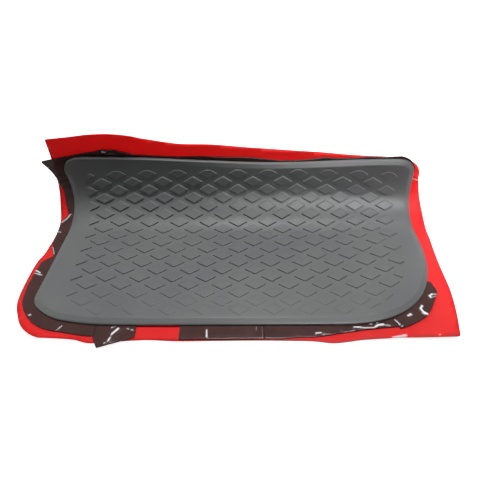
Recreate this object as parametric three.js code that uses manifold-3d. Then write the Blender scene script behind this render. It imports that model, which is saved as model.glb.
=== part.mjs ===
// Rubber car floor mat with raised diamond studs, bonded by black adhesive strips to a red backing film.
// The stack lies flat at the front and curls up steeply at the back. Every layer is first made flat, with X
// across the mat and S along it from its front edge, and is then cut into narrow facets and bent.
// Units are millimetres, +Z is up and the front edge faces -Y.
import * as THREE from "three";
import { mergeGeometries, mergeVertices } from "three/addons/utils/BufferGeometryUtils.js";
import Module from "manifold-3d";

const wasm = await Module();
wasm.setup();

// Outline of the flat mat. The sides are measured from the middle column of studs.
const leftAtFront = 154.5;
const leftAtBack = 146.5;
const rightAtFront = 158.3;
const rightAtBack = 149.8;
const lengthAtLeft = 166.6;
const lengthAtRight = 164;
const frontRightCorner = 81;
const backCorner = 17;
const cornerSteps = 7;

// The left side has a waist: [distance in from the straight side, distance from the back, reach of its curve].
const leftWaist = [5, 38.6, 20];

// Three short bends round off the front left corner: [distance in from the straight side, s, reach].
const frontLeftBends = [[0, 17.3, 8], [16.7, 5.6, 9], [42.4, 1.2, 16]];

// The back edge dips between its two corners: [x, depth below the mat's mean length, reach].
const backDips = [[44, 10.3, 45], [-60, 5.3, 30]];

// Layers, from the floor up. Bonded layers keep a hairline between them.
const filmThickness = 0.5;
const stripThickness = 0.8;
const bondLine = 0.3;
const matThickness = 3.4;

// The mat's rounded rim.
const rimWidth = 4.4;
const rimDrop = 1.8;
const rimSteps = 3;

// Diamond studs on a staggered lattice, and the bare margins around their field.
const studPitch = 26;
const studRowSpacing = 7.5;
const studLength = 18.1;
const studDepth = 10.9;
const studHeight = 1.2;
const studDraft = 0.88;
const studRoot = 0.6;
const firstRow = 12.4;
const marginLeft = 16.3;
const marginRight = 12.3;
const marginFront = 6.5;
const marginBack = 13;
const fieldFrontLeftCorner = 24;
const fieldFrontRightCorner = 74;
const fieldBackCorner = 10;

// The bend: flat, then a tight curl, then a slower one up to the back edge.
const flatLength = 90;
const curlLength = 44;
const curlRadius = 34;
const upperRadius = 120;

// Both ends rise off the floor, and further up the wall they lean inwards.
const levelHalfWidth = 52;
const endLift = 4.5;
const wallLift = 8.8;
const outerPanel = 25;

// The adhesive strips: how far each is tucked under the mat, and the spacing of their outline points.
const stripTuck = 9;
const stripStep = 9;

const matLength = (lengthAtLeft + lengthAtRight) / 2;
const matHalfWidth = (leftAtFront + rightAtFront) / 2;
const stripBottom = filmThickness + bondLine;
const matBottom = stripBottom + stripThickness + bondLine;
const matTop = matBottom + matThickness;

// The mat's straight edges.
const leftEdge = (s) => THREE.MathUtils.lerp(-leftAtFront, -leftAtBack, s / matLength);
const rightEdge = (s) => THREE.MathUtils.lerp(rightAtFront, rightAtBack, s / matLength);
const backEdge = (x) => THREE.MathUtils.lerp(lengthAtLeft, lengthAtRight, x / matHalfWidth / 2 + 0.5);

// A corner a given distance in from the straight left edge.
const inFromLeft = ([inwards, s, reach]) => [leftEdge(s) + inwards, s, reach];

// An outline from [x, s, reach] corners, each rounded by a curve that reaches that far along its sides.
function roundedOutline(corners) {
  const shape = new THREE.Shape();
  corners.forEach(([x, s, reach], i) => {
    const here = new THREE.Vector2(x, s);
    const before = new THREE.Vector2(...corners.at(i - 1));
    const after = new THREE.Vector2(...corners.at((i + 1) % corners.length));
    const enter = before.sub(here).setLength(reach).add(here);
    const leave = after.sub(here).setLength(reach).add(here);
    if (i === 0) shape.moveTo(enter.x, enter.y);
    else shape.lineTo(enter.x, enter.y);
    shape.quadraticCurveTo(here.x, here.y, leave.x, leave.y);
  });
  shape.closePath();
  return shape;
}

const matOutline = roundedOutline([
  [leftEdge(matLength), backEdge(-matHalfWidth), backCorner],
  inFromLeft([leftWaist[0], lengthAtLeft - leftWaist[1], leftWaist[2]]),
  ...frontLeftBends.map(inFromLeft),
  [rightEdge(0), 0, frontRightCorner],
  [rightEdge(matLength), backEdge(matHalfWidth), backCorner],
  ...backDips.map(([x, depth, reach]) => [x, matLength - depth, reach]),
]);

const fieldOutline = roundedOutline([
  [marginLeft - leftAtBack, matLength - marginBack, fieldBackCorner],
  [marginLeft - leftAtBack, marginFront, fieldFrontLeftCorner],
  [rightAtBack - marginRight, marginFront, fieldFrontRightCorner],
  [rightAtBack - marginRight, matLength - marginBack, fieldBackCorner],
]);

// Position-only geometry with shared vertices.
function welded(geometry) {
  const bare = new THREE.BufferGeometry();
  bare.setAttribute("position", geometry.getAttribute("position").clone());
  if (geometry.index) bare.setIndex(geometry.index.clone());
  return mergeVertices(bare, 1e-4);
}

function toSolid(geometry) {
  const mesh = welded(geometry);
  const vertProperties = new Float32Array(mesh.getAttribute("position").array);
  const triVerts = new Uint32Array(mesh.index.array);
  return new wasm.Manifold(new wasm.Mesh({ numProp: 3, vertProperties, triVerts }));
}

function toGeometry(solid) {
  const { vertProperties, triVerts } = solid.getMesh();
  const geometry = new THREE.BufferGeometry();
  geometry.setAttribute("position", new THREE.BufferAttribute(vertProperties, 3));
  geometry.setIndex(new THREE.BufferAttribute(triVerts, 1));
  return geometry;
}

// How far the bend has turned, and where it has got to, at a distance along the mat's top face.
function bendAt(s) {
  const curl = THREE.MathUtils.clamp(s - flatLength, 0, curlLength);
  const upper = Math.max(s - flatLength - curlLength, 0);
  const curlTurn = curl / curlRadius;
  const turn = curlTurn + upper / upperRadius;
  const forward = curlRadius * Math.sin(curlTurn) + upperRadius * (Math.sin(turn) - Math.sin(curlTurn));
  const rise = curlRadius * (1 - Math.cos(curlTurn)) + upperRadius * (Math.cos(curlTurn) - Math.cos(turn));
  return { turn, y: Math.min(s, flatLength) + forward, z: rise };
}

// Lifts a point off the level middle, square to the sheet.
function liftAt(x, s) {
  const out = Math.max(Math.abs(x) - levelHalfWidth, 0) / (matHalfWidth - levelHalfWidth);
  const up = Math.max(s - flatLength, 0) / (matLength - flatLength);
  return (endLift + (wallLift - endLift) * up) * out * out;
}

// The fold lines run through the studs' middles: across the sheet where it curls, and along it near its ends.
const rowCount = Math.ceil((matLength - firstRow) / studRowSpacing) + 1;
const columnCount = Math.ceil(matHalfWidth / studPitch) + 1;
const foldRows = Array.from({ length: rowCount + 4 }, (_, row) => firstRow + row * studRowSpacing)
  .filter((s) => s > flatLength - studRowSpacing);
foldRows.unshift(-outerPanel);
const foldColumns = Array.from({ length: 2 * columnCount }, (_, i) => (i * studPitch) / 2)
  .filter((x) => x >= levelHalfWidth && x < leftAtBack - marginLeft)
  .concat(leftAtBack - rimWidth, leftAtBack + outerPanel)
  .flatMap((x) => [-x, x])
  .sort((p, q) => p - q);

// The place of a flat point (x, s, height) on the smoothly bent sheet.
function curved(x, s, height) {
  const { turn, y, z } = bendAt(s);
  const offset = height - matTop + liftAt(x, s);
  return [x, y - offset * Math.sin(turn), matTop + z + offset * Math.cos(turn)];
}

// The neighbouring fold lines around a coordinate. The last panels reach past every edge.
function panel(lines, value) {
  const i = THREE.MathUtils.clamp(lines.findLastIndex((line) => line <= value), 0, lines.length - 2);
  return [lines[i], lines[i + 1]];
}

// Carries a flat point to the bent sheet, which stays straight between fold lines: the layers stay parallel.
function bent(x, s, height) {
  const [x0, x1] = panel(foldColumns, x);
  const [s0, s1] = panel(foldRows, s);
  const tx = (x - x0) / (x1 - x0);
  const ts = (s - s0) / (s1 - s0);
  const blend = (p, q, t) => p.map((c, k) => c + (q[k] - c) * t);
  const near = blend(curved(x0, s0, height), curved(x1, s0, height), tx);
  const far = blend(curved(x0, s1, height), curved(x1, s1, height), tx);
  return blend(near, far, ts);
}

// Cuts every triangle that crosses the plane where one coordinate has the given value.
function cutAlong(positions, triangles, axis, value) {
  const side = (i) => {
    const distance = positions[i][axis] - value;
    return Math.abs(distance) < 1e-4 ? 0 : Math.sign(distance);
  };
  const cuts = new Map();
  const crossing = (i, j) => {
    const key = i < j ? `${i},${j}` : `${j},${i}`;
    if (!cuts.has(key)) {
      const [p, q] = i < j ? [positions[i], positions[j]] : [positions[j], positions[i]];
      const t = (value - p[axis]) / (q[axis] - p[axis]);
      cuts.set(key, positions.push(p.map((c, k) => (k === axis ? value : c + (q[k] - c) * t))) - 1);
    }
    return cuts.get(key);
  };
  const result = [];
  for (const triangle of triangles) {
    const sides = triangle.map(side);
    if (!sides.includes(1) || !sides.includes(-1)) {
      result.push(triangle);
      continue;
    }
    // Turn the triangle so that its first corner is on the plane, or else alone on its side of it.
    const onPlane = sides.indexOf(0);
    const alone = sides.findIndex((v) => sides.filter((w) => w === v).length === 1);
    const first = onPlane >= 0 ? onPlane : alone;
    const [a, b, c] = [0, 1, 2].map((k) => triangle[(first + k) % 3]);
    if (onPlane >= 0) {
      const m = crossing(b, c);
      result.push([a, b, m], [a, m, c]);
    } else {
      const m = crossing(a, b);
      const n = crossing(a, c);
      result.push([a, m, n], [m, b, c], [m, c, n]);
    }
  }
  return result;
}

// Cuts a flat geometry along the fold lines and bends it.
function bentGeometry(flat) {
  const mesh = welded(flat);
  const source = mesh.getAttribute("position");
  const point = (i) => [source.getX(i), source.getY(i), source.getZ(i)];
  const positions = Array.from({ length: source.count }, (_, i) => point(i));
  const index = mesh.index.array;
  let triangles = Array.from({ length: index.length / 3 }, (_, i) => [...index.slice(3 * i, 3 * i + 3)]);
  for (const s of foldRows) triangles = cutAlong(positions, triangles, 1, s);
  for (const x of foldColumns) triangles = cutAlong(positions, triangles, 0, x);
  return indexedGeometry(positions.map((p) => bent(...p)), triangles);
}

function indexedGeometry(positions, triangles) {
  const geometry = new THREE.BufferGeometry();
  geometry.setAttribute("position", new THREE.Float32BufferAttribute(positions.flat(), 3));
  geometry.setIndex(triangles.flat());
  return geometry;
}

// One stud is a four-sided frustum whose root is sunk into the slab.
function stud(x, s) {
  const height = studHeight + studRoot;
  return new THREE.CylinderGeometry(studDraft / 2, 0.5, height, 4)
    .rotateX(Math.PI / 2)
    .scale(studLength, studDepth, 1)
    .translate(x, s, matTop - studRoot + height / 2);
}

// The staggered field: odd rows are shifted by half a pitch. The studs at its border are cut off straight.
function studField() {
  const studs = [];
  for (let row = 0; row < rowCount; row++) {
    const shift = (row % 2) / 2;
    for (let column = -columnCount; column <= columnCount; column++) {
      studs.push(stud((column + shift) * studPitch, firstRow + row * studRowSpacing));
    }
  }
  const depth = 2 * (studHeight + studRoot);
  const options = { depth, bevelEnabled: false, curveSegments: cornerSteps };
  const field = new THREE.ExtrudeGeometry(fieldOutline, options)
    .translate(0, 0, matTop - studRoot - depth / 4);
  return toGeometry(toSolid(mergeGeometries(studs)).intersect(toSolid(field)));
}

// Keeps the part of a polygon of [x, s, height] corners on one side of a line of constant x or s.
function trimmed(polygon, axis, value, sign) {
  return polygon.flatMap((p, i) => {
    const q = polygon[(i + 1) % polygon.length];
    const depthP = sign * (p[axis] - value);
    const depthQ = sign * (q[axis] - value);
    const kept = depthP >= 0 ? [p] : [];
    if (depthP * depthQ < 0) {
      const t = depthP / (depthP - depthQ);
      kept.push(p.map((c, k) => (k === axis ? value : c + (q[k] - c) * t)));
    }
    return kept;
  });
}

// The pieces of a polygon that lie between neighbouring fold lines.
function cells(polygon, lines, axis) {
  return [-Infinity, ...lines].map((line, i) => {
    const upper = trimmed(polygon, axis, line, 1);
    return i < lines.length ? trimmed(upper, axis, lines[i], -1) : upper;
  });
}

// A bent sheet with a flat underside. Its upper side is given by polygons that meet edge to edge.
function bentSheet(polygons, bottom) {
  const corners = [];
  const triangles = [];
  const numbers = new Map();
  const numberOf = (p) => {
    const key = `${p[0].toFixed(3)},${p[1].toFixed(3)}`;
    if (!numbers.has(key)) numbers.set(key, corners.push(p) - 1);
    return numbers.get(key);
  };
  for (const polygon of polygons) {
    for (const cell of cells(polygon, foldRows, 1).flatMap((band) => cells(band, foldColumns, 0))) {
      const loop = [...new Set(cell.map(numberOf))];
      if (loop.length < 3) continue;
      const points = loop.map((n) => new THREE.Vector2(corners[n][0], corners[n][1]));
      for (const triangle of THREE.ShapeUtils.triangulateShape(points, [])) {
        triangles.push(triangle.map((k) => loop[k]));
      }
    }
  }
  // The lower face repeats the upper one, and a wall stands under each edge that only one triangle uses.
  const count = corners.length;
  const edges = triangles.flatMap(([a, b, c]) => [[a, b], [b, c], [c, a]]);
  const used = new Set(edges.map(([a, b]) => `${a},${b}`));
  const walls = edges.filter(([a, b]) => !used.has(`${b},${a}`))
    .flatMap(([a, b]) => [[a, a + count, b], [b, a + count, b + count]]);
  const lower = triangles.map(([a, b, c]) => [a + count, c + count, b + count]);
  const places = [...corners.map((p) => bent(...p)), ...corners.map(([x, s]) => bent(x, s, bottom))];
  return indexedGeometry(places, [...triangles, ...lower, ...walls]);
}

// A sheet of even thickness with square edges.
function bentPlate(outline, bottom, thickness) {
  return bentSheet([outline.map(([x, s]) => [x, s, bottom + thickness])], bottom);
}

// The outline drawn in by a distance. It runs anticlockwise, so its inside is on the left.
function drawnIn(outline, distance) {
  return outline.map((p, i) => {
    const before = outline.at(i - 1);
    const after = outline[(i + 1) % outline.length];
    const along = after.clone().sub(before).normalize();
    return new THREE.Vector2(p.x - along.y * distance, p.y + along.x * distance);
  });
}

// The slab's upper side is a flat middle inside rings that round its rim.
function slab() {
  const outline = matOutline.getPoints(cornerSteps)
    .filter((p, i, all) => i > 0 && p.distanceTo(all[i - 1]) > 1e-3);
  const loops = Array.from({ length: rimSteps + 1 }, (_, step) => {
    const angle = (step / rimSteps) * (Math.PI / 2);
    const height = matTop - rimDrop * (1 - Math.sin(angle));
    return drawnIn(outline, rimWidth * (1 - Math.cos(angle))).map((p) => [p.x, p.y, height]);
  });
  const rings = loops.slice(1).flatMap((inner, step) => inner.map((p, i) => {
    const next = (i + 1) % inner.length;
    return [loops[step][i], loops[step][next], inner[next], p];
  }));
  return bentSheet([...rings, loops.at(-1)], matBottom);
}

function rubberMat() {
  return toGeometry(toSolid(slab()).add(toSolid(bentGeometry(studField()))));
}

// The backing film reaches past the mat's four sides by an uneven amount. Each pair is a place along that
// side, from 0 to 1, and the reach there.
const filmBackReach = [
  [0.06, 18.3], [0.11, 19.2], [0.16, 18.7], [0.21, 16], [0.25, 12.4], [0.33, 7.8], [0.42, 7], [0.53, 4.2],
  [0.62, 2.2], [0.71, 0.5], [0.8, -1.3], [0.865, -1.3], [0.93, 0.1],
];
const filmRightReach = [
  [0.9, 4.6], [0.84, 6.7], [0.77, 8.9], [0.71, 10.6], [0.63, 11.9], [0.51, 11], [0.4, 8.8], [0.3, 7.4],
  [0.17, 6], [0.06, 2.8],
];
const filmFrontReach = [
  [0.87, 10.3], [0.78, 11.1], [0.71, 13.4], [0.65, 11.5], [0.5, 10.7], [0.36, 10.9], [0.28, 9.8], [0.2, 11.5],
  [0.155, 12.5], [0.115, 9.8], [0.04, 9],
];
const filmLeftReach = [
  [0.05, 7], [0.1, 10.8], [0.17, 12.4], [0.29, 12.2], [0.36, 11.3], [0.41, 9], [0.5, 7.6], [0.62, 7],
  [0.72, 8.2], [0.84, 7.5], [0.97, 7.3],
];
const filmFrontRightTip = [0.993, 11.2];
const filmBackLeftTip = [0.008, 18.4];
const filmFrontLeftPull = [1.5, 5];

// Places on the four sides, outside the mat by the given reach.
const across = (t) => THREE.MathUtils.lerp(-matHalfWidth, matHalfWidth, t) + (rightAtFront - leftAtFront) / 2;
const onBack = ([t, reach]) => new THREE.Vector2(across(t), backEdge(across(t)) + reach);
const onFront = ([t, reach]) => new THREE.Vector2(across(t), -reach);
const onRight = ([t, reach]) => new THREE.Vector2(rightEdge(t * matLength) + reach, t * matLength);
const onLeft = ([t, reach]) => new THREE.Vector2(leftEdge(t * matLength) - reach, t * matLength);

// Smooth and rounded stretches of an outline.
const smooth = (points) => new THREE.SplineCurve(points).getPoints(2 * points.length - 2);
function corner(start, control, end) {
  return new THREE.QuadraticBezierCurve(start, control, end).getPoints(cornerSteps).slice(1, -1);
}

function filmOutline() {
  const back = [filmBackLeftTip, ...filmBackReach].map(onBack);
  const right = [...filmRightReach.map(onRight), onFront(filmFrontRightTip)];
  const front = filmFrontReach.map(onFront);
  const left = filmLeftReach.map(onLeft);
  const backRight = corner(back.at(-1), new THREE.Vector2(right[0].x, back.at(-1).y), right[0]);
  const pull = new THREE.Vector2(leftEdge(0) - filmFrontLeftPull[0], -filmFrontLeftPull[1]);
  const frontLeft = corner(front.at(-1), pull, left[0]);
  return [...smooth(back), ...backRight, ...smooth(right), ...smooth(front), ...frontLeft, ...smooth(left)]
    .reverse()
    .map((p) => [p.x, p.y]);
}

// The adhesive strips follow the mat's rim, which starts at the back left and runs by the front. Each strip's
// ends are places along the rim, from 0 to 1, and its reaches past the mat are spread evenly between them.
const strips = {
  adhesive_left_back: {
    from: -0.019, to: 0.074,
    reach: [6.5, 4.7, 3.6, 2.4, 1.7, 4.5, 16.8, 11, 10.2, 9.4, 8, 7.8, 7.6, 6.8, 5.6],
  },
  adhesive_left_middle: { from: 0.0752, to: 0.1258, reach: [4, 8.7, 10.3, 10.2, 9.6, 9.1, 7.4, 3.1] },
  adhesive_left_front: {
    from: 0.1268, to: 0.241, reach: [3, 9.6, 10.2, 10.3, 10.1, 9, 8.1, 9.5, 9.4, 8.5, 8.4, 8.9, 8.9],
  },
  adhesive_front_crumpled: { from: 0.2418, to: 0.2742, reach: [10.5, 17.8, 16.3, 14.9, 13.4, 12, 10.5, 9.1] },
  adhesive_front_left: { from: 0.31, to: 0.3788, reach: [11, 10.9, 10.7] },
  adhesive_front_right: { from: 0.3798, to: 0.4875, reach: [10.7, 10.6, 9.5, 9.2, 7.8, 5.7, 4.5, 5, 7.5] },
  adhesive_right_corner: { from: 0.4885, to: 0.5432, reach: [9.5, 10.4, 11, 11.4, 10.1, 8.7, 7.6, 1.5] },
  adhesive_right_side: { from: 0.5442, to: 0.6685, reach: [-1, -1.5] },
  adhesive_back: {
    from: 0.6695, to: 0.98,
    reach: [
      0.5, 1.5, 3.4, 1.3, 2.1, 0.9, 1.4, 2.8, 1.3, 0.9, 1, 2.5,
      3.7, 3.6, 3, 3.2, 2.7, 1.4, 1.4, 1.6, 1.9, 6, 7,
    ],
  },
};

// A point outside the rim by the given distance. Places before the rim's start wrap round to its end.
function besideRim(place, out) {
  const at = (t) => matOutline.getPoint(THREE.MathUtils.euclideanModulo(t, 1));
  const ahead = at(place + 1e-3).sub(at(place - 1e-3)).normalize();
  const here = at(place);
  return [here.x + ahead.y * out, here.y - ahead.x * out];
}

function stripOutline({ from, to, reach }) {
  const length = (to - from) * matOutline.getLength();
  const steps = Math.max(Math.ceil(length / stripStep), reach.length - 1);
  const outer = [];
  const inner = [];
  for (let i = 0; i <= steps; i++) {
    const place = THREE.MathUtils.lerp(from, to, i / steps);
    const t = (i / steps) * (reach.length - 1);
    const k = Math.min(Math.floor(t), reach.length - 2);
    outer.push(besideRim(place, THREE.MathUtils.lerp(reach[k], reach[k + 1], t - k)));
    inner.unshift(besideRim(place, -stripTuck));
  }
  return [...outer, ...inner];
}

const materials = {
  rubber: new THREE.MeshStandardMaterial({ color: 0x5d6062, roughness: 0.62, metalness: 0 }),
  film: new THREE.MeshStandardMaterial({ color: 0xe3201b, roughness: 0.35, metalness: 0 }),
  adhesive: new THREE.MeshStandardMaterial({ color: 0x241a17, roughness: 0.22, metalness: 0 }),
};

const floorMat = new THREE.Group();

function addLayer(name, geometry, material) {
  const mesh = new THREE.Mesh(geometry, material.clone());
  mesh.name = name;
  floorMat.add(mesh);
}

addLayer("rubber_mat", rubberMat(), materials.rubber);
addLayer("backing_film", bentPlate(filmOutline(), 0, filmThickness), materials.film);
for (const [name, strip] of Object.entries(strips)) {
  addLayer(name, bentPlate(stripOutline(strip), stripBottom, stripThickness), materials.adhesive);
}

// The origin is under the middle of the whole stack, on the floor.
const bounds = new THREE.Box3().setFromObject(floorMat);
const middle = bounds.getCenter(new THREE.Vector3());
for (const mesh of floorMat.children) {
  mesh.position.set(-middle.x, -middle.y, 0);
}

export default floorMat;
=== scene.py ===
# %% [markdown]
# A self-adhesive heel pad for a car's footwell, as it comes out of its packing. A dark grey rubber mat with
# a field of diamond studs lies on a bright red backing film, and strips of glossy black adhesive round its
# rim hold the two together. The stack lies flat at the front and curls up at the back. In this lesson each
# layer is laid out flat, meshed finely there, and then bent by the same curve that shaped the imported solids.

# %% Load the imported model
import math
import bpy
import numpy as np
from mathutils import Matrix, Vector, noise
from mathutils.geometry import delaunay_2d_cdt


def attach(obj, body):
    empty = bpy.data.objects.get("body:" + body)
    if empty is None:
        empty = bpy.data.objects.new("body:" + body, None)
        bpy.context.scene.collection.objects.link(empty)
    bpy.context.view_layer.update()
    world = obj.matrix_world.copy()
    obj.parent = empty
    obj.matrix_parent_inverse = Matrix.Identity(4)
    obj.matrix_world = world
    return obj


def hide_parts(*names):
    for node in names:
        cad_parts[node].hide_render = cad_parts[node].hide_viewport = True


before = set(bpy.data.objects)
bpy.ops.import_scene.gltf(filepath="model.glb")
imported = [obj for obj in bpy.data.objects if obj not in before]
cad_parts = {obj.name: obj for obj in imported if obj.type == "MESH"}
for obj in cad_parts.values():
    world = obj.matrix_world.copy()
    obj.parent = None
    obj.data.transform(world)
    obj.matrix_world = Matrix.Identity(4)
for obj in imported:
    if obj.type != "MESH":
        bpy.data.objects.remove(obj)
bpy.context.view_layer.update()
print("packed nodes:", ", ".join(sorted(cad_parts)))

# %% [markdown]
# The real mat is pressed flat in a mould and only bends afterwards, so every size below belongs to the flat
# layout. X runs across the mat from the middle column of studs, S runs along it from the front edge, and
# both are in millimetres. Named sizes keep the fine meshes in step with the solids they replace.

# %% Sizes of the flat layers
millimetre = 0.001
left_at_front, left_at_back = 154.5, 146.5
right_at_front, right_at_back = 158.3, 149.8
length_at_left, length_at_right = 166.6, 164.0
mat_length = (length_at_left + length_at_right) / 2
mat_half_width = (left_at_front + right_at_front) / 2
film_top = 0.5
strip_bottom, strip_top = 0.8, 1.6
mat_bottom, mat_top = 1.9, 5.3
stud_pitch, stud_row_spacing, first_row = 26.0, 7.5, 12.4

# %% [markdown]
# The mat's outline has four corners of different radius. Its left side has a slight waist, three short bends
# round off its front left corner, and its back edge dips a little. A quadratic curve at each corner is the
# simplest rounding that can reach far along one side, as the corner at the front right does. Each bend is
# written as how far it lies in from the left side, its distance from the front, and how far it is rounded.

# %% Outlines of the mat and its stud field
left_waist = (5, 128, 20)
front_left_bends = [(0, 17.3, 8), (16.7, 5.6, 9), (42.4, 1.2, 16)]
back_dips = [[44, 155, 45], [-60, 160, 30]]
back_corner, front_right_corner = 17, 81
field_in_left, field_in_right = 16.3, 12.3
field_in_front, field_in_back = 6.5, 14.2


def rounded(corners, steps):
    """A closed outline from [x, s, reach] corners, each rounded by a curve that reaches along its sides."""
    outline = []
    t = np.linspace(0, 1, steps + 1)[:, None]
    for i, (x, s, reach) in enumerate(corners):
        here = np.array([x, s])
        before = np.array(corners[i - 1][:2]) - here
        after = np.array(corners[(i + 1) % len(corners)][:2]) - here
        enter = here + before / np.linalg.norm(before) * reach
        leave = here + after / np.linalg.norm(after) * reach
        outline.append((1 - t) ** 2 * enter + 2 * t * (1 - t) * here + t ** 2 * leave)
    return np.vstack(outline)


def in_from_left(inwards, s, reach):
    """A corner that lies inwards of the mat's left side, as if that ran straight."""
    left_edge = -left_at_front + (left_at_front - left_at_back) * s / mat_length
    return [left_edge + inwards, s, reach]


mat_outline = rounded([
    [-left_at_back, length_at_left, back_corner],
    in_from_left(*left_waist),
    *[in_from_left(*bend) for bend in front_left_bends],
    [right_at_front, 0, front_right_corner],
    [right_at_back, length_at_right, back_corner],
    *back_dips,
], steps=24)
field_left, field_right = field_in_left - left_at_back, right_at_back - field_in_right
field_front, field_back = field_in_front, mat_length - field_in_back
stud_field = rounded([
    [field_left, field_back, 10],
    [field_left, field_front, 24],
    [field_right, field_front, 74],
    [field_right, field_back, 10],
], steps=8)
print("mat outline points:", len(mat_outline))

# %% [markdown]
# Rim, studs, film and tape are all drawn from outlines. A few small functions cover what they need: points
# at even distances, the same outline further in, and whether or how far a point lies inside. Plain arrays do
# this for thousands of points at once, which is much faster than asking Blender for each point.

# %% Work with outlines
def evenly(outline, spacing):
    """The same closed outline with its points a given distance apart."""
    closed = np.vstack([outline, outline[:1]])
    lengths = np.concatenate([[0], np.cumsum(np.linalg.norm(np.diff(closed, axis=0), axis=1))])
    places = np.linspace(0, lengths[-1], int(lengths[-1] / spacing), endpoint=False)
    return np.column_stack([np.interp(places, lengths, closed[:, k]) for k in (0, 1)])


def drawn_in(outline, distance):
    """The outline moved inwards. It runs anticlockwise, so its inside is on the left."""
    along = np.roll(outline, -1, axis=0) - np.roll(outline, 1, axis=0)
    along /= np.linalg.norm(along, axis=1)[:, None]
    return outline + np.column_stack([-along[:, 1], along[:, 0]]) * distance


def is_inside(points, outline):
    """Which points lie inside a closed outline."""
    start, end = outline, np.roll(outline, -1, axis=0)
    x, s = points[:, :1], points[:, 1:]
    spans = (start[:, 1] > s) != (end[:, 1] > s)
    rise = end[:, 1] - start[:, 1] + 1e-12
    crossing = start[:, 0] + (s - start[:, 1]) / rise * (end[:, 0] - start[:, 0])
    return ((x < crossing) & spans).sum(axis=1) % 2 == 1


def distance_to(points, outline):
    """The distance from each point to the nearest stretch of a closed outline."""
    along = np.roll(outline, -1, axis=0) - outline
    offset = points[:, None] - outline
    t = (offset * along).sum(axis=2) / np.maximum((along ** 2).sum(axis=1), 1e-12)
    gap = offset - np.clip(t, 0, 1)[..., None] * along
    return np.sqrt((gap ** 2).sum(axis=2)).min(axis=1)


def beyond_mat(points, border_spacing=2, parts=8):
    """How far each point lies outside the mat's outline, below zero for one under the mat.
    The points are measured in several parts, which takes less memory."""
    border = evenly(mat_outline, border_spacing)
    gaps = np.concatenate([distance_to(part, border) for part in np.array_split(points, parts)])
    return np.where(is_inside(points, border), -gaps, gaps)

# %% [markdown]
# Rubber, adhesive and film bend together. The bend is flat for 90 mm, then a tight curl, then a gentler one
# up to the back edge, and both ends rise a little off the floor. One function carries a flat point to its
# bent place and turns millimetres into metres. A curve modifier on each layer could bend it too, but one
# shared function keeps the layers exactly parallel.

# %% The bend
flat_length, curl_length = 90.0, 44.0
curl_radius, upper_radius = 34.0, 120.0
level_half_width = 52.0
end_lift, wall_lift = 4.5, 8.8
middle_column_x, front_edge_y = 0.216, -57.951


def blend(low, high, t):
    """A value part of the way from low to high."""
    return low + (high - low) * t


def bent(points):
    """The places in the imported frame, in metres, of flat [x, s, height] points."""
    x, s, height = np.asarray(points, float).T
    curl = np.clip(s - flat_length, 0, curl_length) / curl_radius
    turn = curl + np.clip(s - flat_length - curl_length, 0, None) / upper_radius
    forward = curl_radius * np.sin(curl) + upper_radius * (np.sin(turn) - np.sin(curl))
    rise = curl_radius * (1 - np.cos(curl)) + upper_radius * (np.cos(curl) - np.cos(turn))
    out = np.clip(np.abs(x) - level_half_width, 0, None) / (mat_half_width - level_half_width)
    up = np.clip(s - flat_length, 0, None) / (mat_length - flat_length)
    offset = height - mat_top + blend(end_lift, wall_lift, up) * out ** 2
    y = np.minimum(s, flat_length) + forward - offset * np.sin(turn)
    z = mat_top + rise + offset * np.cos(turn)
    return np.column_stack([x + middle_column_x, y + front_edge_y, z]) * millimetre


def piece_from(name, flat_points, faces):
    """A smooth-shaded piece from flat points and the faces between them."""
    mesh = bpy.data.meshes.new(name)
    places = [tuple(place) for place in bent(flat_points)]
    mesh.from_pydata(places, [], [tuple(int(i) for i in face) for face in faces])
    mesh.polygons.foreach_set("use_smooth", [True] * len(mesh.polygons))
    mesh.validate()
    mesh.update()
    piece = bpy.data.objects.new(name, mesh)
    bpy.context.collection.objects.link(piece)
    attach(piece, "root")
    print(name, "faces:", len(mesh.polygons))
    return piece

# %% [markdown]
# A sheet with a curved border and holes can't be a plain grid. A constrained Delaunay triangulation joins
# the border, the studs' bases and an even scatter of points between them into well-shaped triangles, so the
# sheet bends smoothly and every edge stays crisp.

# %% Triangles between outlines
def scattered(outline, spacing, clear):
    """Staggered points inside an outline, at least the clear distance from it."""
    low, high = outline.min(axis=0), outline.max(axis=0)
    points = []
    row_spacing = spacing * 0.866
    for row, s in enumerate(np.arange(low[1], high[1], row_spacing)):
        columns = np.arange(low[0] + (row % 2) * spacing / 2, high[0], spacing)
        points.append(np.column_stack([columns, np.full(len(columns), s)]))
    points = np.vstack(points)
    points = points[is_inside(points, outline)]
    return points[distance_to(points, outline) > clear]


def triangulated(loops, loose):
    """Triangles that fill the first loop, through all the loops' points and the loose ones.
    A triangle is three numbers of points, counted through the loops and then the loose points."""
    points = [Vector(p) for loop in loops for p in loop] + [Vector(p) for p in loose]
    borders = []
    first = 0
    for loop in loops:
        count = len(loop)
        borders += [(first + i, first + (i + 1) % count) for i in range(count)]
        first += count
    result = delaunay_2d_cdt(points, borders, [], 1, 1e-5)
    faces, origins = result[2], result[3]
    lost = [tuple(round(c, 2) for c in v) for v, o in zip(result[0], origins) if not o]
    if lost:
        raise ValueError(f"outlines cross at {lost}")
    return [[origins[v][0] for v in face] for face in faces]

# %% [markdown]
# The mat is one moulding. Its rim is a bevel that runs out to a rounded nose. The rim is made of rings that
# follow the outline at set depths, so the bevel keeps its width round every corner. Each row of the profile
# is how far in a ring lies and how far below the mat's top. At the back left the real rim can hardly be told
# from the wall, so the bevel's upper rings drop less there and the bevel fades out.

# %% The mat's rim
rim_profile = [
    (0.0, 3.4), (0.0, 2.8), (0.1, 2.4), (0.3, 2.0), (0.65, 1.66), (1.2, 1.36), (2.0, 1.04),
    (3.0, 0.64), (3.8, 0.28), (4.3, 0.08), (4.8, 0.0),
]
rim_spacing = 2.2
back_left_softening = 0.95
soft_from_s, soft_over_s = 140, 15
soft_from_x, soft_over_x = 90, 170
lowest_bevel_drop = 2.2


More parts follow.
